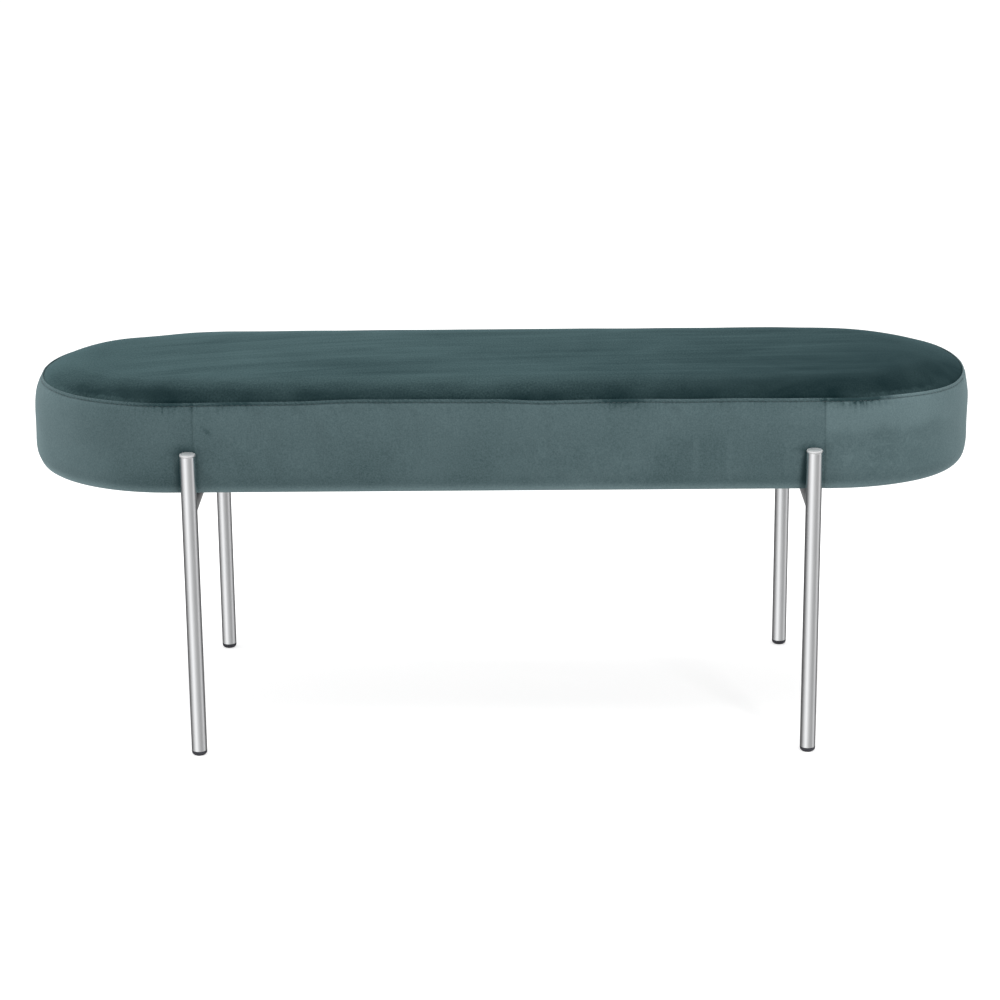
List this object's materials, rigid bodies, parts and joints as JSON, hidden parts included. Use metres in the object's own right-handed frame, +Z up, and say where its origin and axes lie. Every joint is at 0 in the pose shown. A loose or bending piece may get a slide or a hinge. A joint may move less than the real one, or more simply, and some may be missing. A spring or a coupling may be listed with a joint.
{
  "type": "upholstered bench",
  "caption": "Long upholstered bench: rounded-end velvet seat with a stitched top seam, carried on slim polished tube side frames whose legs stand outside the seat.",
  "frame": {"origin": "on the floor, under the middle of the seat", "axes": "+X along the seat to the right, +Y to the rear, +Z up; the front faces -Y"},
  "size_m": [1.17, 0.4086, 0.4583],
  "materials": {
    "velvet": "velvet",
    "wadding": "matte",
    "foam": "matte",
    "plywood": "matte",
    "hardboard": "matte",
    "softwood": "matte",
    "dust_cloth": "matte",
    "polished_tube": "polished",
    "raw_steel": "satin",
    "zinc_steel": "satin",
    "foot_plastic": "matte"
  },
  "bodies": {
    "root": {"cover_top": "velvet", "cover_front_band": "velvet", "cover_rear_band": "velvet", "cover_left_band": "velvet", "cover_right_band": "velvet", "top_wadding": "wadding", "foam_slab": "foam", "side_foam_front": "foam", "side_foam_rear": "foam", "side_foam_left": "foam", "side_foam_right": "foam", "base_board": "plywood", "left_end_rim": "plywood", "right_end_rim": "plywood", "deck_board": "hardboard", "front_rail": "softwood", "rear_rail": "softwood", "cross_rib_1": "softwood", "cross_rib_2": "softwood", "cross_rib_3": "softwood", "cross_rib_4": "softwood", "dust_cover": "dust_cloth", "bolt_1": "zinc_steel", "bolt_2": "zinc_steel", "bolt_3": "zinc_steel", "bolt_4": "zinc_steel", "bolt_5": "zinc_steel", "bolt_6": "zinc_steel", "bolt_7": "zinc_steel", "bolt_8": "zinc_steel", "tee_nut_1": "zinc_steel", "tee_nut_2": "zinc_steel", "tee_nut_3": "zinc_steel", "tee_nut_4": "zinc_steel", "tee_nut_5": "zinc_steel", "tee_nut_6": "zinc_steel", "tee_nut_7": "zinc_steel", "tee_nut_8": "zinc_steel", "leg_front_left": "polished_tube", "leg_rear_left": "polished_tube", "leg_front_right": "polished_tube", "leg_rear_right": "polished_tube", "leg_cap_front_left": "polished_tube", "leg_cap_rear_left": "polished_tube", "leg_cap_front_right": "polished_tube", "leg_cap_rear_right": "polished_tube", "crossbar_left": "polished_tube", "crossbar_right": "polished_tube", "mounting_plate_front_left": "raw_steel", "mounting_plate_rear_left": "raw_steel", "mounting_plate_front_right": "raw_steel", "mounting_plate_rear_right": "raw_steel", "foot_front_left": "foot_plastic", "foot_rear_left": "foot_plastic", "foot_front_right": "foot_plastic", "foot_rear_right": "foot_plastic"}
  },
  "joints": []
}
